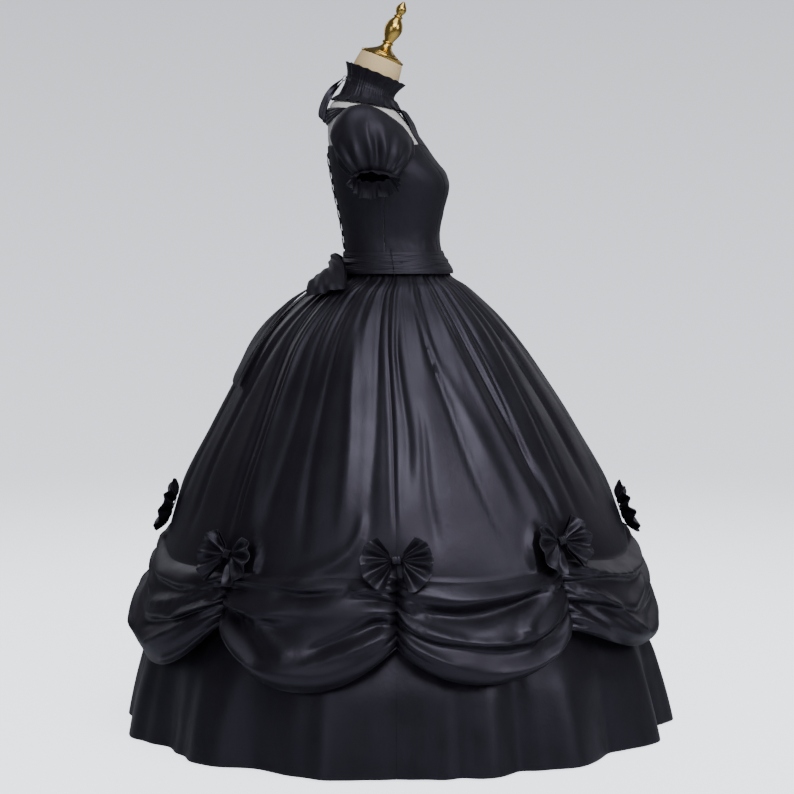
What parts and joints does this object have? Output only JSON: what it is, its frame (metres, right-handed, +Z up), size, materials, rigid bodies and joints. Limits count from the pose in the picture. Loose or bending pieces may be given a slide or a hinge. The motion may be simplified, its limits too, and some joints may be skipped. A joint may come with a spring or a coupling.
{
  "type": "ball gown on a dress form",
  "caption": "Floor-length satin ball gown with puff sleeves, ruffled collar, sash and swagged overskirt with bows, worn by a limbless dress form on a pole stand.",
  "frame": {"origin": "on the floor, at the centre of the underside of the dress form's stand plate, under the skirt's own axis", "axes": "+Z up; the gown's front faces -Y and its back faces +Y; the wearer's left is +X and the wearer's right is -X"},
  "size_m": [1.2445, 1.2588, 1.6625],
  "materials": {
    "black_satin": "satin weave with a soft cool sheen",
    "form_jersey": "matt white jersey stretched over the form",
    "form_linen": "matt beige linen on the neck",
    "gold_finial": "polished gold",
    "stand_steel": "satin black"
  },
  "bodies": {
    "root": {"form_torso": "form_jersey", "form_neck": "form_linen", "form_finial": "gold_finial", "stand_pole": "stand_steel", "stand_base": "stand_steel", "bodice_front": "black_satin", "bodice_side_left": "black_satin", "bodice_side_right": "black_satin", "bodice_back_left": "black_satin", "bodice_back_right": "black_satin", "bodice_placket": "black_satin", "lacing_under": "black_satin", "lacing_over": "black_satin", "halter_yoke": "black_satin", "back_band": "black_satin", "collar": "black_satin", "collar_tie_knot": "black_satin", "collar_tie_loop_left": "black_satin", "collar_tie_loop_right": "black_satin", "collar_tie_tail_left": "black_satin", "collar_tie_tail_right": "black_satin", "sleeve_left": "black_satin", "sleeve_right": "black_satin", "sash": "black_satin", "sash_carrier_left": "black_satin", "sash_carrier_right": "black_satin", "sash_bow_knot": "black_satin", "sash_bow_loop_left": "black_satin", "sash_bow_loop_right": "black_satin", "sash_bow_tail_left": "black_satin", "sash_bow_tail_right": "black_satin", "overskirt_front": "black_satin", "overskirt_back": "black_satin", "underskirt_front": "black_satin", "underskirt_back": "black_satin", "skirt_bow_1": "black_satin", "skirt_bow_2": "black_satin", "skirt_bow_3": "black_satin", "skirt_bow_4": "black_satin", "skirt_bow_5": "black_satin", "skirt_bow_6": "black_satin", "skirt_bow_7": "black_satin", "skirt_bow_8": "black_satin", "skirt_bow_knot_1": "black_satin", "skirt_bow_knot_2": "black_satin", "skirt_bow_knot_3": "black_satin", "skirt_bow_knot_4": "black_satin", "skirt_bow_knot_5": "black_satin", "skirt_bow_knot_6": "black_satin", "skirt_bow_knot_7": "black_satin", "skirt_bow_knot_8": "black_satin"}
  },
  "joints": []
}
